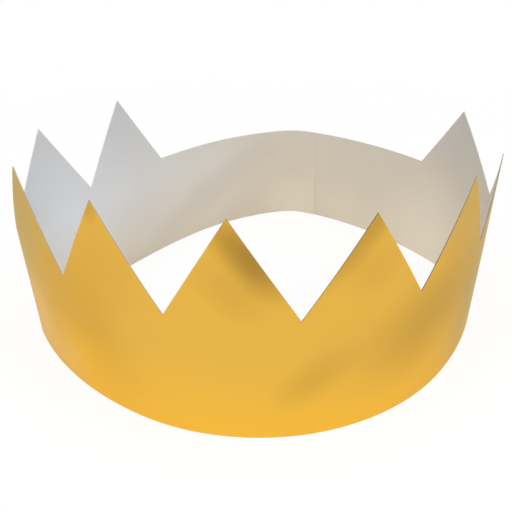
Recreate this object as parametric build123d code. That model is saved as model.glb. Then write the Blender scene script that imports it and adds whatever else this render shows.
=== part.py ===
from build123d import *
import math
import os

import numpy as np

# Paper crown: one strip of thin card with nine points cut in its upper edge,
# bent round into a ring and glued where its two plain ends lap at the back.
# Millimetres, +Z up, front towards -Y, origin under the middle of the crown on
# the surface that it stands on.

# Flat strip
loop_length = 580.0        # once round the head, along the middle of the card
lap_length = 16.0          # how far the outer end covers the inner end
inner_lead = 5.2           # how much of the inner end comes before the back bend
card_thickness = 0.35
band_height = 52.5         # lower edge to the foot of each notch

# Points, counted from the inner end of the strip
point_count = 9
point_pitch = 46.0         # notch to notch along the strip
point_height = 36.0        # foot of a notch to the tip
tip_trims = {4: 1.0, 5: 1.8, 8: -7.5, 9: -4.5}    # tips cut taller or shorter by hand
tip_shifts = {9: 2.2}                             # tips cut off the middle of their point

# Bends of the ring seen from above. Each has the direction that its wall starts to
# face, in degrees from the front (0) through the right (90) and the back (180) to the
# left (270), and a radius at the middle of the card. The radii of the three widest
# bends are not free: they close the ring at its length.
fold_radius = 1.3          # two soft folds left from when the crown lay flat
back_bend_angle, back_bend_radius = -205.8, 26.0
back_left_angle, back_left_radius = -164.9, 112.0
left_side_angle = -136.7
left_fold_angle = -110.8
front_left_angle, front_left_radius = -58.9, 135.5
front_angle = -25.7
front_right_angle, front_right_radius = 50.0, 146.0
right_fold_angle = 76.6
right_side_angle = 110.1

fold_notch = 2             # the left fold runs down from the foot of this notch

cutter_clearance = 4.0     # how far the cutting wedges stand above the tallest tip
tolerance = 1e-6
quarter_turn, full_turn = 90, 360


def facing(degrees):
    """Level unit vector that a wall facing this way points along."""
    a = math.radians(degrees)
    return np.array([math.sin(a), -math.cos(a)])


def along(degrees):
    """Level unit vector along the strip where its wall faces this way."""
    a = math.radians(degrees)
    return np.array([math.cos(a), math.sin(a)])


def ring_radii(starts, radii):
    """Fill in the three open radii, so that a full turn ends one card thickness outside
    its own start and the whole turn has the loop's length."""
    chords = [facing(b) - facing(a) for a, b in zip(starts, starts[1:])]
    turns = [math.radians(b - a) for a, b in zip(starts, starts[1:])]
    rows = [np.array([c[0], c[1], t]) for c, t in zip(chords, turns)]
    step = card_thickness * facing(starts[0])
    target = np.array([step[0], step[1], loop_length])
    for row, radius in zip(rows, radii):
        if radius is not None:
            target = target - radius * row
    open_bends = [i for i, radius in enumerate(radii) if radius is None]
    solved = np.linalg.solve(np.array([rows[i] for i in open_bends]).T, target)
    filled = list(radii)
    for i, radius in zip(open_bends, solved):
        filled[i] = float(radius)
    return filled


def lay_out_bends():
    """The strip's middle line as tangent arcs: start angle, end angle, radius, centre
    and the length of strip at which each begins. The inner end starts inside the end of
    the right side, and the outer end runs on outside the back bend."""
    starts = [
        back_bend_angle, back_left_angle, left_side_angle, left_fold_angle, front_left_angle,
        front_angle, front_right_angle, right_fold_angle, right_side_angle, back_bend_angle + full_turn,
    ]
    radii = ring_radii(starts, [
        back_bend_radius, back_left_radius, None, fold_radius, front_left_radius,
        None, front_right_radius, fold_radius, None,
    ])
    lead_radius = radii[-1] - card_thickness
    starts.insert(0, starts[0] - math.degrees(inner_lead / lead_radius))
    radii.insert(0, lead_radius)
    lap_radius = back_bend_radius + card_thickness
    starts.append(starts[-1] + math.degrees((lap_length - inner_lead) / lap_radius))
    radii.append(lap_radius)

    bends = []
    place = np.zeros(2)
    length = 0.0
    for a, b, radius in zip(starts, starts[1:], radii):
        centre = place - radius * facing(a)
        bends.append((a, b, radius, centre, length))
        place = centre + radius * facing(b)
        length += radius * math.radians(b - a)
    return bends


bends = lay_out_bends()
strip_length = loop_length + lap_length


def station(length):
    """Point on the middle line, and the way the wall faces there, this far from the
    inner end of the strip."""
    a, _, radius, centre, begins = [bend for bend in bends if bend[4] <= length + tolerance][-1]
    angle = a + math.degrees((length - begins) / radius)
    return centre + radius * facing(angle), angle


def strip_run(first, last):
    """Plan of the card between two lengths along the strip."""
    outer = []
    inner = []
    for a, b, radius, centre, begins in bends:
        start = max(a, a + math.degrees((first - begins) / radius))
        end = min(b, a + math.degrees((last - begins) / radius))
        if radius * math.radians(end - start) < tolerance:
            continue
        for side, edges in ((card_thickness / 2, outer), (-card_thickness / 2, inner)):
            # an arc's own angles start at +X, a quarter turn on from the front
            edges.append(CenterArc(tuple(centre), radius + side, start - quarter_turn, end - start))
    ends = [Line(outer[0] @ 0, inner[0] @ 0), Line(outer[-1] @ 1, inner[-1] @ 1)]
    return make_face(outer + inner + ends)


def strip_solid(first, last, height):
    """Upright wall of card between two lengths along the strip."""
    return extrude(strip_run(first, last), amount=height, dir=(0, 0, 1))


# Where the notches and tips come along the strip
left_fold, after_left_fold = bends[4], bends[5]
fold_middle = (left_fold[4] + after_left_fold[4]) / 2
first_notch = fold_middle - fold_notch * point_pitch
notch_feet = [first_notch + i * point_pitch for i in range(point_count + 1)]


def tip(number):
    """Length along the strip and height of one tip, counted from 1 at the inner end."""
    length = first_notch + (number - 0.5) * point_pitch + tip_shifts.get(number, 0.0)
    height = band_height + point_height + tip_trims.get(number, 0.0)
    return length, height


tallest = band_height + point_height + max(0.0, *tip_trims.values())
cut_top = tallest + cutter_clearance


def notch(number):
    """Wedge that cuts one notch square through the card, from the tip on its one side
    down to its foot and up to the tip on its other side. The first and last have a tip
    on one side only."""
    foot, angle = station(notch_feet[number])
    tangent = along(angle)
    corners = [(0.0, band_height)]
    for neighbour in (number + 1, number):
        reach = 0.0
        if 1 <= neighbour <= point_count:
            length, height = tip(neighbour)
            offset = np.dot(station(length)[0] - foot, tangent)
            reach = float(offset) * (cut_top - band_height) / (height - band_height)
        corners.append((reach, cut_top))
    wall = Plane(origin=(*foot, 0), x_dir=(*tangent, 0), z_dir=(*facing(angle), 0))
    wedge = make_face(Polyline(*corners, close=True))
    return extrude(wall * wedge, amount=point_pitch / 2, both=True)


# The pointed middle of the strip
crest = strip_solid(notch_feet[0], notch_feet[-1], tallest)
for number in range(point_count + 1):
    crest -= notch(number)

# The two plain ends, which lap at the back
inner_end = strip_solid(0, notch_feet[0], band_height)
outer_end = strip_solid(notch_feet[-1], strip_length, band_height)
crown = crest + inner_end + outer_end

# Stand the crown over its origin
middle = crown.bounding_box().center()
crown = Pos(-middle.X, -middle.Y, 0) * crown

os.makedirs("parts", exist_ok=True)
export_step(crown, "parts/crown_band.step")

size = crown.bounding_box().size
print("bend radii", [round(bend[2], 1) for bend in bends])
print("size", round(size.X, 2), round(size.Y, 2), round(size.Z, 2), "volume", round(crown.volume, 1))
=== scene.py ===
import math
from collections import namedtuple

import bpy
from bpy.props import (
    FloatProperty,
    FloatVectorProperty,
    IntProperty,
    PointerProperty,
)
from mathutils import Matrix, Vector


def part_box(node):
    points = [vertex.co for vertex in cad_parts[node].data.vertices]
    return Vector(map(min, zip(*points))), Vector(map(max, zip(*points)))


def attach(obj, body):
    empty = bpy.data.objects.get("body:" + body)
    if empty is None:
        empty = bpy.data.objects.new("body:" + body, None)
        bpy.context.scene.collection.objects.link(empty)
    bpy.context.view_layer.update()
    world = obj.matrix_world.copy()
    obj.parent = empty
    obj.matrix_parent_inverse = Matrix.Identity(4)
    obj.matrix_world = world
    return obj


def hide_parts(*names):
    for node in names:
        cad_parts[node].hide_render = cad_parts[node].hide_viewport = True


bl_info = {
    "name": "Paper crown",
    "version": (1, 0, 0),
    "blender": (4, 5, 0),
    "location": "3D View > Sidebar > Paper crown",
    "description": "Bends a strip of gold card into a ring, cuts nine points in it and lights it",
    "category": "Mesh",
}

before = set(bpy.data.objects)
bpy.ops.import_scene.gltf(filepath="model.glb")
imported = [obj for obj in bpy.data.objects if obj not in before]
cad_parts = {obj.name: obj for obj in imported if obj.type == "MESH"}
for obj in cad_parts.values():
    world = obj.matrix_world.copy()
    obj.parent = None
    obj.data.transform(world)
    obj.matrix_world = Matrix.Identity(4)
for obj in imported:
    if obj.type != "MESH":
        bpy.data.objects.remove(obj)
CROWN_LOW, CROWN_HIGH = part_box("crown_band")

# The bends of the card seen from above, in order along the strip. Each has the way that
# the wall faces where the bend starts, in degrees from the front (0) through the right
# (90) and the back (180) to the left (270), and its radius in metres. The three longest
# bends have no radius of their own: they close the ring at its length.
Curve = namedtuple("Curve", "name faces radius")
CURVES = (
    Curve("back", -205.8, 0.026),
    Curve("back left", -164.9, 0.112),
    Curve("left side", -136.7, None),
    Curve("left fold", -110.8, 0.0013),
    Curve("front left", -58.9, 0.1355),
    Curve("front", -25.7, None),
    Curve("front right", 50.0, 0.146),
    Curve("right fold", 76.6, 0.0013),
    Curve("right side", 110.1, None),
)
# The left fold's place among the bends, which begin with the inner end's lead
LEFT_FOLD = 1 + [curve.name for curve in CURVES].index("left fold")
# It runs down from this notch, counted from 0 where the plain inner end stops
FOLD_NOTCH = 2

# Points are counted from 1 at the inner end of the strip
POINTS = 9
TIP_TRIMS = {4: 0.0010, 5: 0.0018, 8: -0.0075, 9: -0.0045}   # tips cut taller or shorter by hand
TIP_SHIFTS = {9: 0.0022}                                # tips cut off the middle of their point

FLAT_CARD = "flat_card"                                 # UV map: metres along and up the flat card
WIDEST_TURN = math.radians(7.0)                         # the most that one face turns in a bend
SMOOTH_TURN = math.radians(35.0)                        # faces that meet at less than this look smooth
SLACK_SPREAD = 0.055                                    # size of the hollows where the card is slack

LENGTH_DIGITS = 7                                       # the wall's upright marks are rounded to these
SAME_LENGTH = 1e-7                                      # a length this near a bend's start is in it
CUT_TOLERANCE = 1e-5                                    # vertices this near a cut lie on it
WALL_TOLERANCE = 1e-5                                   # vertices this near the middle line lie on it


class CardSizes(bpy.types.PropertyGroup):
    """Sizes of the card and of its mesh"""

    loop_length: FloatProperty(
        name="Loop length", description="Once round the head, along the middle of the card",
        default=0.580, min=0.4, max=0.8, precision=4, unit="LENGTH", subtype="DISTANCE",
    )
    lap_length: FloatProperty(
        name="Lap", description="How far the outer end of the strip covers the inner end",
        default=0.016, min=0.006, max=0.04, precision=4, unit="LENGTH", subtype="DISTANCE",
    )
    inner_lead: FloatProperty(
        name="Inner lead", description="How much of the inner end comes before the back bend",
        default=0.0052, min=0.001, max=0.02, precision=4, unit="LENGTH", subtype="DISTANCE",
    )
    thickness: FloatProperty(
        name="Card thickness", description="Thickness of the card",
        default=0.00035, min=0.0001, max=0.002, precision=5, unit="LENGTH", subtype="DISTANCE",
    )
    band_height: FloatProperty(
        name="Band height", description="Lower edge to the foot of each notch",
        default=0.0525, min=0.01, max=0.1, precision=4, unit="LENGTH", subtype="DISTANCE",
    )
    point_pitch: FloatProperty(
        name="Point pitch", description="Notch to notch along the strip",
        default=0.046, min=0.02, max=0.06, precision=4, unit="LENGTH", subtype="DISTANCE",
    )
    point_height: FloatProperty(
        name="Point height", description="Foot of a notch to the tip of a point",
        default=0.036, min=0.01, max=0.08, precision=4, unit="LENGTH", subtype="DISTANCE",
    )
    column_width: FloatProperty(
        name="Column width", description="Widest face of the mesh along the strip",
        default=0.0015, min=0.0005, max=0.01, precision=4, unit="LENGTH", subtype="DISTANCE",
    )
    rows: IntProperty(
        name="Rows", description="Rows of faces from the lower edge to the tallest tip",
        default=36, min=4, max=90,
    )
    waviness: FloatProperty(
        name="Waviness", description="The furthest that the card sinks inwards where it is slack",
        default=0.0004, min=0.0, max=0.003, precision=5, unit="LENGTH", subtype="DISTANCE",
    )


class CardColours(bpy.types.PropertyGroup):
    """Colours of the foil, of the bare board and of the cuts, painted light and shade among them"""

    gold: FloatVectorProperty(
        name="Gold", description="Gold foil on the outside of the card",
        default=(0.76, 0.45, 0.065), min=0.0, max=1.0, subtype="COLOR",
    )
    # Painted reflection of the lit floor, which makes the foil richer low down and left of the front
    floor_lit_gold: FloatVectorProperty(
        name="Low gold", description="Richest foil, low down and left of the front",
        default=(0.90, 0.50, 0.040), min=0.0, max=1.0, subtype="COLOR",
    )
    # Painted sheen of a grazing reflection, on the two sides
    grazing_sheen_gold: FloatVectorProperty(
        name="Pale gold", description="Palest foil, on the two sides",
        default=(0.62, 0.42, 0.100), min=0.0, max=1.0, subtype="COLOR",
    )
    # Painted highlight, low at the left
    highlight_gold: FloatVectorProperty(
        name="Bright gold", description="Lightest foil, low at the left",
        default=(0.92, 0.57, 0.15), min=0.0, max=1.0, subtype="COLOR",
    )
    # Painted shade on the foil, at its darkest
    shaded_gold: FloatVectorProperty(
        name="Dull gold", description="Foil where it is dullest",
        default=(0.40, 0.225, 0.036), min=0.0, max=1.0, subtype="COLOR",
    )
    # Beige board, with painted warm light in it, round the back of the inside
    board: FloatVectorProperty(
        name="Board", description="Bare board on the inside of the card",
        default=(0.61, 0.545, 0.44), min=0.0, max=1.0, subtype="COLOR",
    )
    # Painted cool light on the inside at the left
    cool_lit_board: FloatVectorProperty(
        name="Cool board", description="Bare board inside the left of the crown",
        default=(0.60, 0.62, 0.65), min=0.0, max=1.0, subtype="COLOR",
    )
    cut_edge: FloatVectorProperty(
        name="Cut edge", description="Core of the card where it is cut",
        default=(0.62, 0.58, 0.50), min=0.0, max=1.0, subtype="COLOR",
    )
    # Colour of the darkest cuts, on the front points; on the cuts at the right it is painted shade
    dark_edge: FloatVectorProperty(
        name="Dark edge", description="Core of the card along its darkest cuts",
        default=(0.16, 0.085, 0.022), min=0.0, max=1.0, subtype="COLOR",
    )
    # Painted light over the shade where the cut end lies in the lap
    painted_light_glued_edge: FloatVectorProperty(
        name="Glued edge", description="Cut end of the card where it is glued down inside",
        default=(0.86, 0.79, 0.68), min=0.0, max=1.0, subtype="COLOR",
    )


class StageSettings(bpy.types.PropertyGroup):
    """The floor, the even light and the camera"""

    floor_colour: FloatVectorProperty(
        name="Floor", description="Colour of the floor's own shade",
        default=(0.93, 0.93, 0.93), min=0.0, max=1.0, subtype="COLOR",
    )
    shadow_share: FloatProperty(
        name="Shadow", description="How much of its own shade the floor shows",
        default=0.20, min=0.0, max=1.0, subtype="FACTOR",
    )
    shadow_reach: FloatProperty(
        name="Shadow reach", description="How far out from the crown's middle the floor shows it",
        default=0.45, min=0.1, max=4.0, unit="LENGTH", subtype="DISTANCE",
    )
    even_light: FloatProperty(
        name="Even light", description="Strength of the light that comes from all round",
        default=0.45, min=0.0, max=2.0,
    )
    camera_place: FloatVectorProperty(
        name="Camera", description="Where the camera stands",
        default=(0.00216, -0.24002, 0.16875), unit="LENGTH", subtype="TRANSLATION",
    )
    camera_dip: FloatProperty(
        name="Dip", description="How far the camera looks down",
        default=0.54824, subtype="ANGLE",
    )
    camera_turn: FloatProperty(
        name="Turn", description="How far the camera looks to its right",
        default=-0.02666, subtype="ANGLE",
    )
    camera_roll: FloatProperty(
        name="Roll", description="How far the camera leans over its own axis",
        default=-0.01289, subtype="ANGLE",
    )
    camera_lens: FloatProperty(
        name="Lens", description="Focal length on a 36 mm sensor",
        default=41.24, min=10.0, max=200.0, subtype="DISTANCE_CAMERA",
    )


# Plan of the bent card

Bend = namedtuple("Bend", "faces turn radius centre begins")


def facing(angle):
    """Level direction that a wall facing this way points along."""
    return Vector((math.sin(angle), -math.cos(angle), 0.0))


def closing_radii(starts, sizes):
    """Radii of all the bends. The open ones come from three conditions: a full turn ends
    one card thickness outside its own start, across and along, at the loop's length."""
    steps = []
    for a, b in zip(starts, starts[1:]):
        chord = facing(b) - facing(a)
        steps.append(Vector((chord.x, chord.y, b - a)))
    lap_step = sizes.thickness * facing(starts[0])
    wanted = Vector((lap_step.x, lap_step.y, sizes.loop_length))
    for curve, step in zip(CURVES, steps):
        if curve.radius is not None:
            wanted -= curve.radius * step
    unknown = Matrix([step for curve, step in zip(CURVES, steps) if curve.radius is None])
    solved = iter(unknown.transposed().inverted() @ wanted)
    return [next(solved) if curve.radius is None else curve.radius for curve in CURVES]


def bends_of(sizes):
    """The card's middle line as tangent arcs, with the lap outside the inner end."""
    starts = [math.radians(curve.faces) for curve in CURVES]
    starts.append(starts[0] + math.tau)
    radii = closing_radii(starts, sizes)
    lap_radius = radii[0] + sizes.thickness
    lead_radius = radii[-1] - sizes.thickness
    radii = [lead_radius, *radii, lap_radius]
    starts.insert(0, starts[0] - sizes.inner_lead / lead_radius)
    starts.append(starts[-1] + (sizes.lap_length - sizes.inner_lead) / lap_radius)
    bends = []
    place = Vector((0.0, 0.0, 0.0))
    begins = 0.0
    for a, b, radius in zip(starts, starts[1:], radii):
        centre = place - radius * facing(a)
        bends.append(Bend(a, b - a, radius, centre, begins))
        place = centre + radius * facing(b)
        begins += radius * (b - a)
    return bends


def bend_at(bends, length):
    """The bend that holds this length along the strip."""
    return [bend for bend in bends if bend.begins <= length + SAME_LENGTH][-1]


def station(bends, length):
    """Point on the middle line and the way the wall faces, this far along the strip."""
    bend = bend_at(bends, length)
    angle = bend.faces + (length - bend.begins) / bend.radius
    return bend.centre + bend.radius * facing(angle), angle


def notch_feet(bends, sizes):
    """Lengths along the strip of all the notches. The first and the last are where the
    plain ends begin."""
    fold_middle = (bends[LEFT_FOLD].begins + bends[LEFT_FOLD + 1].begins) / 2
    first = fold_middle - FOLD_NOTCH * sizes.point_pitch
    return [first + i * sizes.point_pitch for i in range(POINTS + 1)]


def tip_of(number, feet, sizes):
    """Length along the strip and height of one tip, counted from 1 at the inner end."""
    length = (feet[number - 1] + feet[number]) / 2 + TIP_SHIFTS.get(number, 0.0)
    height = sizes.band_height + sizes.point_height + TIP_TRIMS.get(number, 0.0)
    return length, height


# Working by hand

def start_piece(name):
    """Name the object that was just added and return it."""
    piece = bpy.context.object
    piece.name = name
    piece.data.name = name
    return piece


def clear_selection():
    """Leave nothing selected, so that an operator meets only its own piece."""
    bpy.ops.object.select_all(action="DESELECT")


def choose(piece, kind, wanted):
    """Go into edit mode with the wanted vertices or faces of the piece selected."""
    bpy.ops.object.mode_set(mode="EDIT")
    bpy.ops.mesh.select_mode(type=kind)
    bpy.ops.mesh.select_all(action="DESELECT")
    bpy.ops.object.mode_set(mode="OBJECT")
    parts = piece.data.vertices if kind == "VERT" else piece.data.polygons
    for part in parts:
        part.select = wanted(part)
    bpy.ops.object.mode_set(mode="EDIT")


def cut_through(piece, wanted, point, direction):
    """Cut the wanted faces through with a plane."""
    choose(piece, "FACE", wanted)
    bpy.ops.mesh.bisect(plane_co=point, plane_no=direction, threshold=CUT_TOLERANCE)
    bpy.ops.object.mode_set(mode="OBJECT")


def apply_modifier(piece, kind, name, **settings):
    """Add a modifier with its settings and apply it."""
    modifier = piece.modifiers.new(name, kind)
    for setting, value in settings.items():
        setattr(modifier, setting, value)
    bpy.ops.object.modifier_apply(modifier=name)


# Shader maths

class Value:
    """An output of a node, with plain arithmetic on the number that it carries."""

    def __init__(self, finish, socket):
        self.finish = finish
        self.socket = socket

    def _maths(self, operation, other, swap=False):
        pair = (other, self) if swap else (self, other)
        return self.finish.add("ShaderNodeMath", {"operation": operation}, dict(enumerate(pair)))

    def __add__(self, other):
        return self._maths("ADD", other)

    __radd__ = __add__

    def __sub__(self, other):
        return self._maths("SUBTRACT", other)

    def __rsub__(self, other):
        return self._maths("SUBTRACT", other, swap=True)

    def __mul__(self, other):
        return self._maths("MULTIPLY", other)

    __rmul__ = __mul__

    def __truediv__(self, other):
        return self._maths("DIVIDE", other)

    def at_least(self, other):
        return self._maths("MAXIMUM", other)

    def at_most(self, other):
        return self._maths("MINIMUM", other)

    def as_share(self):
        """The same number, kept from 0 to 1."""
        return self.at_least(0.0).at_most(1.0)


class Finish:
    """The nodes of one material or world, each added by its type, settings and sockets."""

    def __init__(self, owner):
        self.owner = owner
        owner.use_nodes = True
        self.tree = owner.node_tree
        self.tree.nodes.clear()

    def add(self, kind, settings=None, sockets=None, output=0):
        """Add a node, with its settings first, and return the output that is asked for."""
        node = self.tree.nodes.new(kind)
        for name, value in (settings or {}).items():
            setattr(node, name, value)
        for name, value in (sockets or {}).items():
            socket = find_socket(node.inputs, name)
            if isinstance(value, Value):
                self.tree.links.new(value.socket, socket)
            else:
                socket.default_value = value
        return Value(self, find_socket(node.outputs, output))

    def flat_place(self):
        """Lengths along and up the flat card, in metres."""
        flat = self.add("ShaderNodeUVMap", {"uv_map": FLAT_CARD})
        along = self.add("ShaderNodeSeparateXYZ", sockets={"Vector": flat}, output="X")
        return along, Value(self, along.socket.node.outputs["Y"])

    def noise(self, place, scale, detail=3.0, roughness=0.5):
        """Soft noise from 0 to 1 at a place, with the scale per metre."""
        return self.add("ShaderNodeTexNoise", {"noise_dimensions": "3D"}, {
            "Vector": place, "Scale": scale, "Detail": detail, "Roughness": roughness,
        }, "Fac")

    def relief(self, height, strength, distance):
        """Small bumps of a height from 0 to 1 times a distance in metres."""
        return self.add("ShaderNodeBump", sockets={
            "Strength": strength, "Distance": distance, "Height": height,
        })

    def mix(self, share, first, second):
        """One colour going over into another."""
        return self.add("ShaderNodeMix", {"data_type": "RGBA"}, {
            "Factor": share, "A": first, "B": second,
        }, "Result")

    def close(self, shader, kind="ShaderNodeOutputMaterial"):
        """Make the shader the surface of the material or world, and return that."""
        self.add(kind, sockets={"Surface": shader}, output=None)
        return self.owner


def find_socket(sockets, name):
    """A node's socket by its place or by the name of one that is in use, or none at all."""
    if name is None:
        return None
    if isinstance(name, int):
        return sockets[name]
    return next(socket for socket in sockets if socket.name == name and socket.enabled)


def opaque(colour):
    """A property's colour with its alpha."""
    return (*colour, 1.0)


# Finishes of the card

# A soft place on the flat card: how far along the strip and up its middle lies in metres,
# its half width and half height, how far it leans along the strip per metre up, and its
# strength at its middle
Place = namedtuple("Place", "name along up half_width half_height lean strength")

# Painted reflection of the lit floor, left of the front
FLOOR_REFLECTION = (
    Place("left of the front", 0.2480, 0.0350, 0.0240, 0.0500, 0.0, 0.5),
)
# Painted sheen of a grazing reflection, on the sides and the points beside them
GRAZING_SHEEN = (
    Place("point at the left", 0.2040, 0.0800, 0.0360, 0.0540, 0.0, 1.3),
    Place("low on the left side", 0.2060, 0.0150, 0.0200, 0.0400, 0.0, 0.2),
    Place("right side", 0.4420, 0.0400, 0.0560, 0.0800, 0.0, 1.15),
    Place("point at the right", 0.3950, 0.0800, 0.0185, 0.0290, 0.0, 0.65),
)
# Painted highlights low at the left
PAINTED_HIGHLIGHTS = (
    Place("low beside the left fold", 0.2060, 0.0180, 0.0200, 0.0300, 0.0, 0.75),
    Place("low at the left", 0.2270, 0.0070, 0.0180, 0.0200, 0.0, 0.42),
)
# Painted shade in soft places on the foil, where it is also rougher
PAINTED_SHADE_FOIL = (
    Place("right edge of the tallest point", 0.3132, 0.0775, 0.0138, 0.0215, -0.60, 0.95),
    Place("middle of the tallest point", 0.3065, 0.0650, 0.0170, 0.0170, -0.30, 0.24),
    Place("left edge of the right front point", 0.3475, 0.0805, 0.0100, 0.0225, 0.64, 0.52),
    Place("tip of the right front point", 0.3540, 0.0880, 0.0080, 0.0140, 0.0, 0.14),
    Place("middle of the right front point", 0.3535, 0.0680, 0.0140, 0.0150, 0.0, 0.17),
    Place("tip of the left front point", 0.2590, 0.0880, 0.0060, 0.0090, 0.0, 0.40),
    Place("middle of the left front point", 0.2620, 0.0660, 0.0220, 0.0260, 0.0, 0.13),
    Place("low at the left", 0.2460, 0.0420, 0.0280, 0.0440, -0.30, 0.24),
    Place("low at the right", 0.3800, 0.0380, 0.0400, 0.0320, 0.5, 0.38),
    Place("spot low at the front", 0.3355, 0.0270, 0.0160, 0.0160, 0.6, 0.28),
    Place("right side", 0.4160, 0.0300, 0.0220, 0.0340, 0.0, 0.12),
)
# Painted light on the bare board, and painted shade where the strength is below nothing
BOARD_PAINTED_LIGHT = (
    Place("inside of the left wall", 0.1640, 0.0360, 0.0600, 0.0600, 0.0, 0.20),
    Place("low inside the right wall", 0.4970, 0.0000, 0.0550, 0.0600, 0.0, 0.30),
    Place("high inside the back left", 0.0900, 0.0450, 0.0500, 0.0600, 0.0, 0.05),
    Place("low at the back left", 0.0100, 0.0000, 0.0350, 0.0350, 0.0, 0.17),
    Place("low at the back right", 0.5600, 0.0000, 0.0400, 0.0350, 0.0, 0.11),
    Place("painted shade of the bend across the back left", 0.0660, 0.0260, 0.0300, 0.0400, -1.8, -0.08),
    Place("tip at the back right", 0.4880, 0.0900, 0.0450, 0.0560, 0.0, -0.14),
)
# Where the cuts are dark; on the cuts at the right this is painted shade over cuts that the lamps
# light strongly
DARK_CUTS = (
    Place("cuts of the front points", 0.3450, 0.0700, 0.1100, 0.0900, 0.0, 1.2),
    Place("cuts at the left", 0.2330, 0.0700, 0.0600, 0.0900, 0.0, 0.55),
    Place("cuts at the right", 0.4350, 0.0700, 0.0400, 0.0700, 0.0, 0.6),
    Place("between the tallest and the right front point", 0.3300, 0.0700, 0.0320, 0.0600, 0.0, 0.9),
)


def soft_places(along, up, places):
    """Strength of some soft places together. Each fades to nothing at its own rim."""
    total = 0.0
    for place in places:
        above = (up - place.up) / place.half_height
        across = (along - place.along - (up - place.up) * place.lean) / place.half_width
        spot = (1.0 - across * across - above * above).at_least(0.0)
        total = spot * spot * place.strength + total
    return total


def gold_finish(colours):
    """Satin gold foil on a fine grain, with a painted reflection of the floor low down, painted
    sheen on the sides, painted highlights low at the left and painted shade in places."""
    reflection_height, reflection_share = 0.036, 0.9
    drift_reach = 0.008                     # the rims of the soft places wander over this length
    cloudiness = 0.14
    roughness, dull_roughness, grain_roughness = 0.42, 0.10, 0.06

    finish = Finish(bpy.data.materials.new("gold_foil"))
    place = finish.add("ShaderNodeTexCoord", output="Object")
    along, up = finish.flat_place()
    drift = (finish.noise(place, scale=40.0, detail=2.0) - 0.5) * drift_reach
    cloud = (finish.noise(place, scale=24.0) - 0.5) * cloudiness
    grain = finish.noise(place, scale=2600.0, detail=2.0, roughness=0.6)

    # Painted reflection of the lit floor, strongest at the lower edge and left of the front
    low = (1.0 - (up + drift) / reflection_height).at_least(0.0) * reflection_share
    floor_reflection = (low + soft_places(along + drift, up, FLOOR_REFLECTION)).as_share()
    # Painted sheen of a grazing reflection on the two sides
    painted_sheen = soft_places(along + drift, up, GRAZING_SHEEN).as_share()
    # Painted highlights low at the left
    highlight = soft_places(along + drift, up, PAINTED_HIGHLIGHTS).as_share()
    # Painted shade in places, plus random cloudy tone, which also make the foil rougher
    shade_and_dulling = (soft_places(along + drift, up + drift, PAINTED_SHADE_FOIL) + cloud).as_share()
    colour = finish.mix(floor_reflection, opaque(colours.gold), opaque(colours.floor_lit_gold))
    colour = finish.mix(painted_sheen, colour, opaque(colours.grazing_sheen_gold))
    colour = finish.mix(highlight, colour, opaque(colours.highlight_gold))
    colour = finish.mix(shade_and_dulling, colour, opaque(colours.shaded_gold))
    return finish.close(finish.add("ShaderNodeBsdfPrincipled", sockets={
        "Base Color": colour,
        "Metallic": 0.7,
        "Roughness": roughness + shade_and_dulling * dull_roughness + (grain - 0.5) * grain_roughness,
        "Specular IOR Level": 0.3,
        "Specular Tint": (0.56, 0.56, 0.54, 1.0),
        "Normal": finish.relief(grain, strength=0.12, distance=0.00004),
    }))


def board_finish(colours):
    """Bare board with short fibres, in painted light: cool at the left and warm round the back, with
    painted light and painted shade in places and darker towards the tips.
    """
    cool_height = 0.045                     # beige at the lower edge, cool from this height up
    cool_start, cool_spread = 0.020, 0.130  # along the strip it cools from here, over this length
    cool_end, end_spread = 0.300, 0.060     # and is beige again here, after changing over this
    least_cool = 0.12                       # but this share of cool is left all the way round
    high_start, high_spread = 0.045, 0.045  # from this height up, over this much,
    tip_cool_light, tip_painted_shade = 0.5, 0.08        # the board is this much cooler and darker
    lightness = 1.05
    drift_reach = 0.012                     # the rims of the soft places wander over this length
    fibre_contrast, cloudiness = 0.05, 0.05

    finish = Finish(bpy.data.materials.new("bare_board"))
    place = finish.add("ShaderNodeTexCoord", output="Object")
    along, up = finish.flat_place()
    drift = (finish.noise(place, scale=30.0, detail=2.0) - 0.5) * drift_reach
    fibres = finish.noise(place, scale=900.0, detail=4.0, roughness=0.65)
    cloud = (finish.noise(place, scale=28.0, detail=2.0) - 0.5) * cloudiness

    raised = ((up + drift) / cool_height).as_share()
    left = ((along + drift - cool_start) / cool_spread).as_share()
    before_front = ((cool_end - along) / end_spread).as_share()
    high = ((up - high_start) / high_spread).as_share()
    # Painted tint of the light: cool at the left above the lower edge, warm round the back and low
    # down, and cooler towards the tips
    cool_light = raised * (least_cool + (1.0 - least_cool) * left * before_front)
    warm_light = (1.0 - cool_light) * (1.0 - tip_cool_light * high)
    light_tint = finish.mix(warm_light, opaque(colours.cool_lit_board), opaque(colours.board))
    # Painted light and painted shade in places, and painted shade towards the tips, on the board's own
    # lightness, fibres and cloudy tone
    shade = soft_places(along + drift, up, BOARD_PAINTED_LIGHT) - tip_painted_shade * high
    shade = lightness + shade + (fibres - 0.5) * fibre_contrast + cloud
    colour = finish.add("ShaderNodeVectorMath", {"operation": "SCALE"}, {
        "Vector": light_tint, "Scale": shade,
    })
    return finish.close(finish.add("ShaderNodeBsdfPrincipled", sockets={
        "Base Color": colour,
        "Roughness": 0.78,
        "Specular IOR Level": 0.3,
        "Normal": finish.relief(fibres, strength=0.15, distance=0.00005),
    }))


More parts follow.
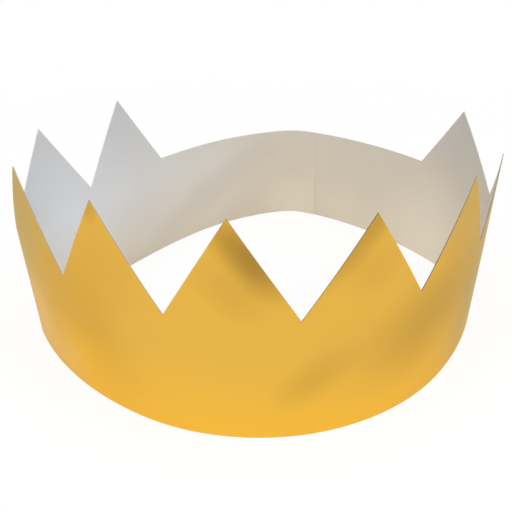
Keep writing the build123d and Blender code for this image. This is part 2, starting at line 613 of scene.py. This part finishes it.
def edge_finish(colours):
    """Raw core of the card along every cut, dark on the front points, with painted shade on the
    cuts at the right, and painted light over the shade of the lap at the glued inner end."""
    speckle_share = 0.3
    glued_reach = 0.001

    finish = Finish(bpy.data.materials.new("cut_core"))
    place = finish.add("ShaderNodeTexCoord", output="Object")
    along, up = finish.flat_place()
    speckle = (finish.noise(place, scale=1500.0) - 0.5) * speckle_share
    dark = (soft_places(along, up, DARK_CUTS) + speckle).as_share()
    glued = (1.0 - along / glued_reach).as_share()
    colour = finish.mix(dark, opaque(colours.cut_edge), opaque(colours.dark_edge))
    # Painted light over the shade of the lap at the glued inner end
    colour = finish.mix(glued, colour, opaque(colours.painted_light_glued_edge))
    return finish.close(finish.add("ShaderNodeBsdfPrincipled", sockets={
        "Base Color": colour,
        "Roughness": 0.85,
    }))


# The card

# A soft dent: where it is deepest along the strip and up, how deep, and how far it reaches
Dent = namedtuple("Dent", "name along up depth reach")

DENTS = (
    Dent("low at the right", 0.3830, 0.0300, 0.0006, 0.026),
    Dent("low at the front", 0.3355, 0.0270, 0.0005, 0.018),
    Dent("low at the left", 0.2450, 0.0300, 0.0006, 0.024),
    Dent("across the back left", 0.0620, 0.0260, 0.0007, 0.026),
)


def start_column(sizes):
    """Upright line of edges at the inner end of the strip, from a grid's one side."""
    tallest = sizes.band_height + sizes.point_height + max(0.0, *TIP_TRIMS.values())
    clear_selection()
    bpy.ops.mesh.primitive_grid_add(
        x_subdivisions=1, y_subdivisions=sizes.rows, size=tallest,
        location=(0.0, 0.0, tallest / 2), rotation=(math.pi / 2, 0.0, 0.0),
    )
    card = start_piece("crown_card")
    bpy.ops.object.transform_apply(location=True, rotation=True, scale=True)
    choose(card, "VERT", lambda vertex: vertex.co.x > 0.0)
    bpy.ops.mesh.delete(type="VERT")
    bpy.ops.mesh.select_all(action="SELECT")
    bpy.ops.transform.translate(value=(tallest / 2, 0.0, 0.0))
    bpy.ops.object.mode_set(mode="OBJECT")
    return card


def spin_wall(card, bends, marks, sizes):
    """Draw the upright line of edges round every bend, stopping at each mark, and return
    the lengths along the strip where the wall has its upright edges."""
    lengths = [marks[0]]
    choose(card, "VERT", lambda vertex: True)
    for first, last in zip(marks, marks[1:]):
        bend = bend_at(bends, first)
        turn = (last - first) / bend.radius
        steps = max(math.ceil((last - first) / sizes.column_width), math.ceil(turn / WIDEST_TURN))
        bpy.ops.mesh.spin(steps=steps, angle=-turn, center=bend.centre, axis=(0.0, 0.0, 1.0))
        lengths += [first + (last - first) * i / steps for i in range(1, steps + 1)]
    bpy.ops.object.mode_set(mode="OBJECT")
    return lengths


def lay_flat_map(card, bends, lengths, sizes):
    """Write how far along and up the flat card each corner of each face lies."""
    flat = card.data.uv_layers.new(name=FLAT_CARD)
    column = sizes.rows + 1                 # vertices in one upright line of edges
    for loop in card.data.loops:
        length = lengths[loop.vertex_index // column]
        place = card.data.vertices[loop.vertex_index].co
        point, _ = station(bends, length)
        if (place.xy - point.xy).length > WALL_TOLERANCE:
            raise RuntimeError("the wall's upright edges don't come in the strip's order")
        flat.data[loop.index].uv = (length, place.z)


def along_strip(card, face):
    """Length along the strip at the middle of a face."""
    flat = card.data.uv_layers[FLAT_CARD].data
    places = [flat[i].uv.x for i in face.loop_indices]
    return sum(places) / len(places)


def cut_lines(bends, feet, sizes):
    """The straight cuts of the upper edge: the stretch of strip that each one crosses, a
    point on it and the direction of what it drops."""
    level = Vector((0.0, 0.0, sizes.band_height))
    upwards = Vector((0.0, 0.0, 1.0))
    cuts = [
        (0.0, feet[0], level, upwards),
        (feet[-1], sizes.loop_length + sizes.lap_length, level, upwards),
    ]
    for number in range(1, POINTS + 1):
        tip, height = tip_of(number, feet, sizes)
        tip_place = station(bends, tip)[0] + height * upwards
        for foot in (feet[number - 1], feet[number]):
            foot_place, angle = station(bends, foot)
            foot_place = foot_place + level
            dropped = (tip_place - foot_place).cross(facing(angle)).normalized()
            if dropped.z < 0.0:
                dropped.negate()
            cuts.append((min(foot, tip), max(foot, tip), foot_place, dropped))
    return cuts


def cut_points(card, cuts):
    """Cut both sides of every point square through the card and the plain ends level,
    then drop all that stands over the cuts."""
    for low, high, point, dropped in cuts:
        cut_through(card, lambda face: low < along_strip(card, face) < high, point, dropped)

    def waste(face):
        length = along_strip(card, face)
        return any(
            low < length < high and (face.center - point).dot(dropped) > 0.0
            for low, high, point, dropped in cuts
        )

    choose(card, "FACE", waste)
    bpy.ops.mesh.delete(type="FACE")
    bpy.ops.object.mode_set(mode="OBJECT")


def press_dents(card, bends):
    """Press the card softly inwards at each dent."""
    for dent in DENTS:
        point, angle = station(bends, dent.along)
        deepest = point + Vector((0.0, 0.0, dent.up))
        nearest = min(card.data.vertices, key=lambda vertex: (vertex.co - deepest).length).index
        choose(card, "VERT", lambda vertex: vertex.index == nearest)
        bpy.ops.transform.translate(
            value=-dent.depth * facing(angle), use_proportional_edit=True,
            proportional_edit_falloff="SMOOTH", proportional_size=dent.reach,
        )
        bpy.ops.object.mode_set(mode="OBJECT")


def face_outwards(card):
    """Turn the wall's faces outwards, by the one at the front of the ring."""
    front = min(card.data.polygons, key=lambda face: face.center.y)
    if front.normal.y > 0.0:
        choose(card, "FACE", lambda face: True)
        bpy.ops.mesh.flip_normals()
        bpy.ops.object.mode_set(mode="OBJECT")


def slacken(card, sizes):
    """Let the card sink inwards a little where it is slack, never outwards."""
    clouds = bpy.data.textures.new("slack_card", "CLOUDS")
    clouds.noise_scale = SLACK_SPREAD
    clouds.noise_depth = 1
    apply_modifier(
        card, "DISPLACE", "slack", texture=clouds, texture_coords="LOCAL",
        strength=sizes.waviness, mid_level=1.0, direction="NORMAL",
    )


def stand_in_frame(card):
    """Move the card over the middle of the solid crown."""
    places = [vertex.co for vertex in card.data.vertices]
    middle = Vector(
        (min(p[i] for p in places) + max(p[i] for p in places)) / 2 for i in range(2)
    )
    wanted = (CROWN_LOW + CROWN_HIGH) / 2
    choose(card, "VERT", lambda vertex: True)
    bpy.ops.transform.translate(value=(wanted.x - middle.x, wanted.y - middle.y, 0.0))
    bpy.ops.object.mode_set(mode="OBJECT")


class CROWN_OT_card(bpy.types.Operator):
    """Bend and cut the gold card"""

    bl_idname = "paper_crown.card"
    bl_label = "Card"
    bl_options = {"REGISTER", "UNDO"}

    def execute(self, context):
        sizes = context.scene.crown_card_sizes
        colours = context.scene.crown_card_colours
        bends = bends_of(sizes)
        feet = notch_feet(bends, sizes)
        tips = [tip_of(number, feet, sizes)[0] for number in range(1, POINTS + 1)]
        ends = [0.0, sizes.loop_length + sizes.lap_length]
        breaks = [*(bend.begins for bend in bends), *feet, *tips, *ends]
        marks = sorted({round(length, LENGTH_DIGITS) for length in breaks})

        card = start_column(sizes)
        lengths = spin_wall(card, bends, marks, sizes)
        lay_flat_map(card, bends, lengths, sizes)
        face_outwards(card)
        cut_points(card, cut_lines(bends, feet, sizes))
        press_dents(card, bends)
        stand_in_frame(card)
        slacken(card, sizes)
        for finish in (gold_finish, board_finish, edge_finish):
            card.data.materials.append(finish(colours))
        # The inside takes the second of the finishes, and the cuts take the third
        apply_modifier(
            card, "SOLIDIFY", "card thickness", thickness=sizes.thickness, offset=0.0,
            use_even_offset=True, material_offset=1, material_offset_rim=2,
        )
        bpy.ops.object.shade_smooth_by_angle(angle=SMOOTH_TURN)
        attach(card, "root")
        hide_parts("crown_band")
        return {"FINISHED"}


# Floor, light and camera

WHITE = (1.0, 1.0, 1.0, 1.0)
FLOOR_SIZE = 8.0
FLOOR_GAP = 0.00005                                     # keeps the floor just under the card
SENSOR_WIDTH = 36.0                                     # millimetres
NEAREST_SEEN = 0.01                                     # the camera sees nothing nearer than this

# A square lamp: where it stands, the length of its side, its power in watts and its colour
Lamp = namedtuple("Lamp", "name place side power colour")

LAMPS = (
    Lamp("lamp_above", (0.0, -0.1, 1.3), 1.0, 8.0, (1.0, 1.0, 1.0)),
    Lamp("lamp_right", (1.1, -0.3, 0.8), 0.8, 4.5, (0.96, 0.98, 1.0)),
    Lamp("lamp_front", (0.0, -1.2, 0.7), 0.8, 4.0, (1.0, 0.97, 0.93)),
    Lamp("lamp_left", (-1.0, -0.6, 0.7), 0.8, 3.5, (1.0, 0.98, 0.96)),
)
LAMP_TARGET = (0.0, 0.0, 0.04)


def seen_rays(finish):
    """1 for the rays by which the camera, metal and glass see a surface, and 0 for the
    rest, which light the object."""
    camera, glossy, transmission = (
        finish.add("ShaderNodeLightPath", output=name)
        for name in ("Is Camera Ray", "Is Glossy Ray", "Is Transmission Ray")
    )
    return (camera + glossy + transmission).at_most(1.0)


def floor_finish(settings):
    """Floor that is seen white and keeps a share of the crown's shadow, fading out round it."""
    finish = Finish(bpy.data.materials.new("stage_floor"))
    place = finish.add("ShaderNodeTexCoord", output="Object")
    distance = finish.add("ShaderNodeVectorMath", {"operation": "LENGTH"}, {0: place}, "Value")
    near = (1.0 - distance / settings.shadow_reach).as_share()
    shade = finish.add("ShaderNodeBsdfDiffuse", sockets={"Color": opaque(settings.floor_colour)})
    white = finish.add("ShaderNodeEmission", sockets={"Color": WHITE, "Strength": 1.0})
    return finish.close(finish.add("ShaderNodeMixShader", sockets={
        "Fac": seen_rays(finish) * (1.0 - near * settings.shadow_share), 1: shade, 2: white,
    }))


def light_world(strength):
    """Even light from all round, seen as white."""
    sky = Finish(bpy.data.worlds.new("studio"))
    light = sky.add("ShaderNodeBackground", sockets={"Color": WHITE, "Strength": strength})
    white = sky.add("ShaderNodeBackground", sockets={"Color": WHITE, "Strength": 1.0})
    mixed = sky.add("ShaderNodeMixShader", sockets={"Fac": seen_rays(sky), 1: light, 2: white})
    bpy.context.scene.world = sky.close(mixed, "ShaderNodeOutputWorld")


def add_lamp(lamp):
    """Hang a square lamp that looks at the crown."""
    clear_selection()
    direction = Vector(LAMP_TARGET) - Vector(lamp.place)
    bpy.ops.object.light_add(
        type="AREA", location=lamp.place, rotation=direction.to_track_quat("-Z", "Y").to_euler()
    )
    light = start_piece(lamp.name).data
    light.shape = "SQUARE"
    light.size = lamp.side
    light.energy = lamp.power
    light.color = lamp.colour


def place_camera(settings):
    """Stand the camera at the photograph's angle and return it."""
    clear_selection()
    turn = Matrix.Rotation(-settings.camera_turn, 4, "Z")
    dip = Matrix.Rotation(math.pi / 2 - settings.camera_dip, 4, "X")
    roll = Matrix.Rotation(settings.camera_roll, 4, "Z")
    bpy.ops.object.camera_add(
        location=settings.camera_place, rotation=(turn @ dip @ roll).to_euler()
    )
    camera = start_piece("camera")
    camera.data.sensor_width = SENSOR_WIDTH
    camera.data.lens = settings.camera_lens
    camera.data.clip_start = NEAREST_SEEN
    return camera


class CROWN_OT_stage(bpy.types.Operator):
    """Set the floor, the lamps and the camera"""

    bl_idname = "paper_crown.stage"
    bl_label = "Stage"
    bl_options = {"REGISTER", "UNDO"}

    def execute(self, context):
        settings = context.scene.crown_stage
        clear_selection()
        bpy.ops.mesh.primitive_plane_add(size=FLOOR_SIZE, location=(0.0, 0.0, -FLOOR_GAP))
        floor = start_piece("stage_floor")
        bpy.ops.object.transform_apply(location=True, rotation=True, scale=True)
        floor.data.materials.append(floor_finish(settings))

        light_world(settings.even_light)
        for lamp in LAMPS:
            add_lamp(lamp)
        context.scene.camera = place_camera(settings)
        context.scene.view_settings.view_transform = "Standard"
        return {"FINISHED"}


class CROWN_PT_panel(bpy.types.Panel):
    """Sizes, colours and steps of the paper crown"""

    bl_idname = "CROWN_PT_panel"
    bl_label = "Paper crown"
    bl_space_type = "VIEW_3D"
    bl_region_type = "UI"
    bl_category = "Paper crown"

    def draw(self, context):
        layout = self.layout
        scene = context.scene
        groups = (
            ("Card", scene.crown_card_sizes, CROWN_OT_card),
            ("Colours", scene.crown_card_colours, None),
            ("Stage", scene.crown_stage, CROWN_OT_stage),
        )
        for title, group, step in groups:
            box = layout.box()
            box.label(text=title)
            for name in group.__annotations__:
                box.prop(group, name)
            if step:
                box.operator(step.bl_idname)


CLASSES = (
    CardSizes, CardColours, StageSettings, CROWN_OT_card, CROWN_OT_stage, CROWN_PT_panel,
)


def register():
    """Add the classes and their settings to Blender."""
    for cls in CLASSES:
        bpy.utils.register_class(cls)
    bpy.types.Scene.crown_card_sizes = PointerProperty(type=CardSizes)
    bpy.types.Scene.crown_card_colours = PointerProperty(type=CardColours)
    bpy.types.Scene.crown_stage = PointerProperty(type=StageSettings)


def unregister():
    """Take the settings and the classes out of Blender again."""
    del bpy.types.Scene.crown_stage
    del bpy.types.Scene.crown_card_colours
    del bpy.types.Scene.crown_card_sizes
    for cls in reversed(CLASSES):
        bpy.utils.unregister_class(cls)


def main():
    """Build the crown and its stage."""
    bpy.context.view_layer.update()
    register()
    bpy.ops.paper_crown.card()
    bpy.ops.paper_crown.stage()


if __name__ == "__main__":
    main()
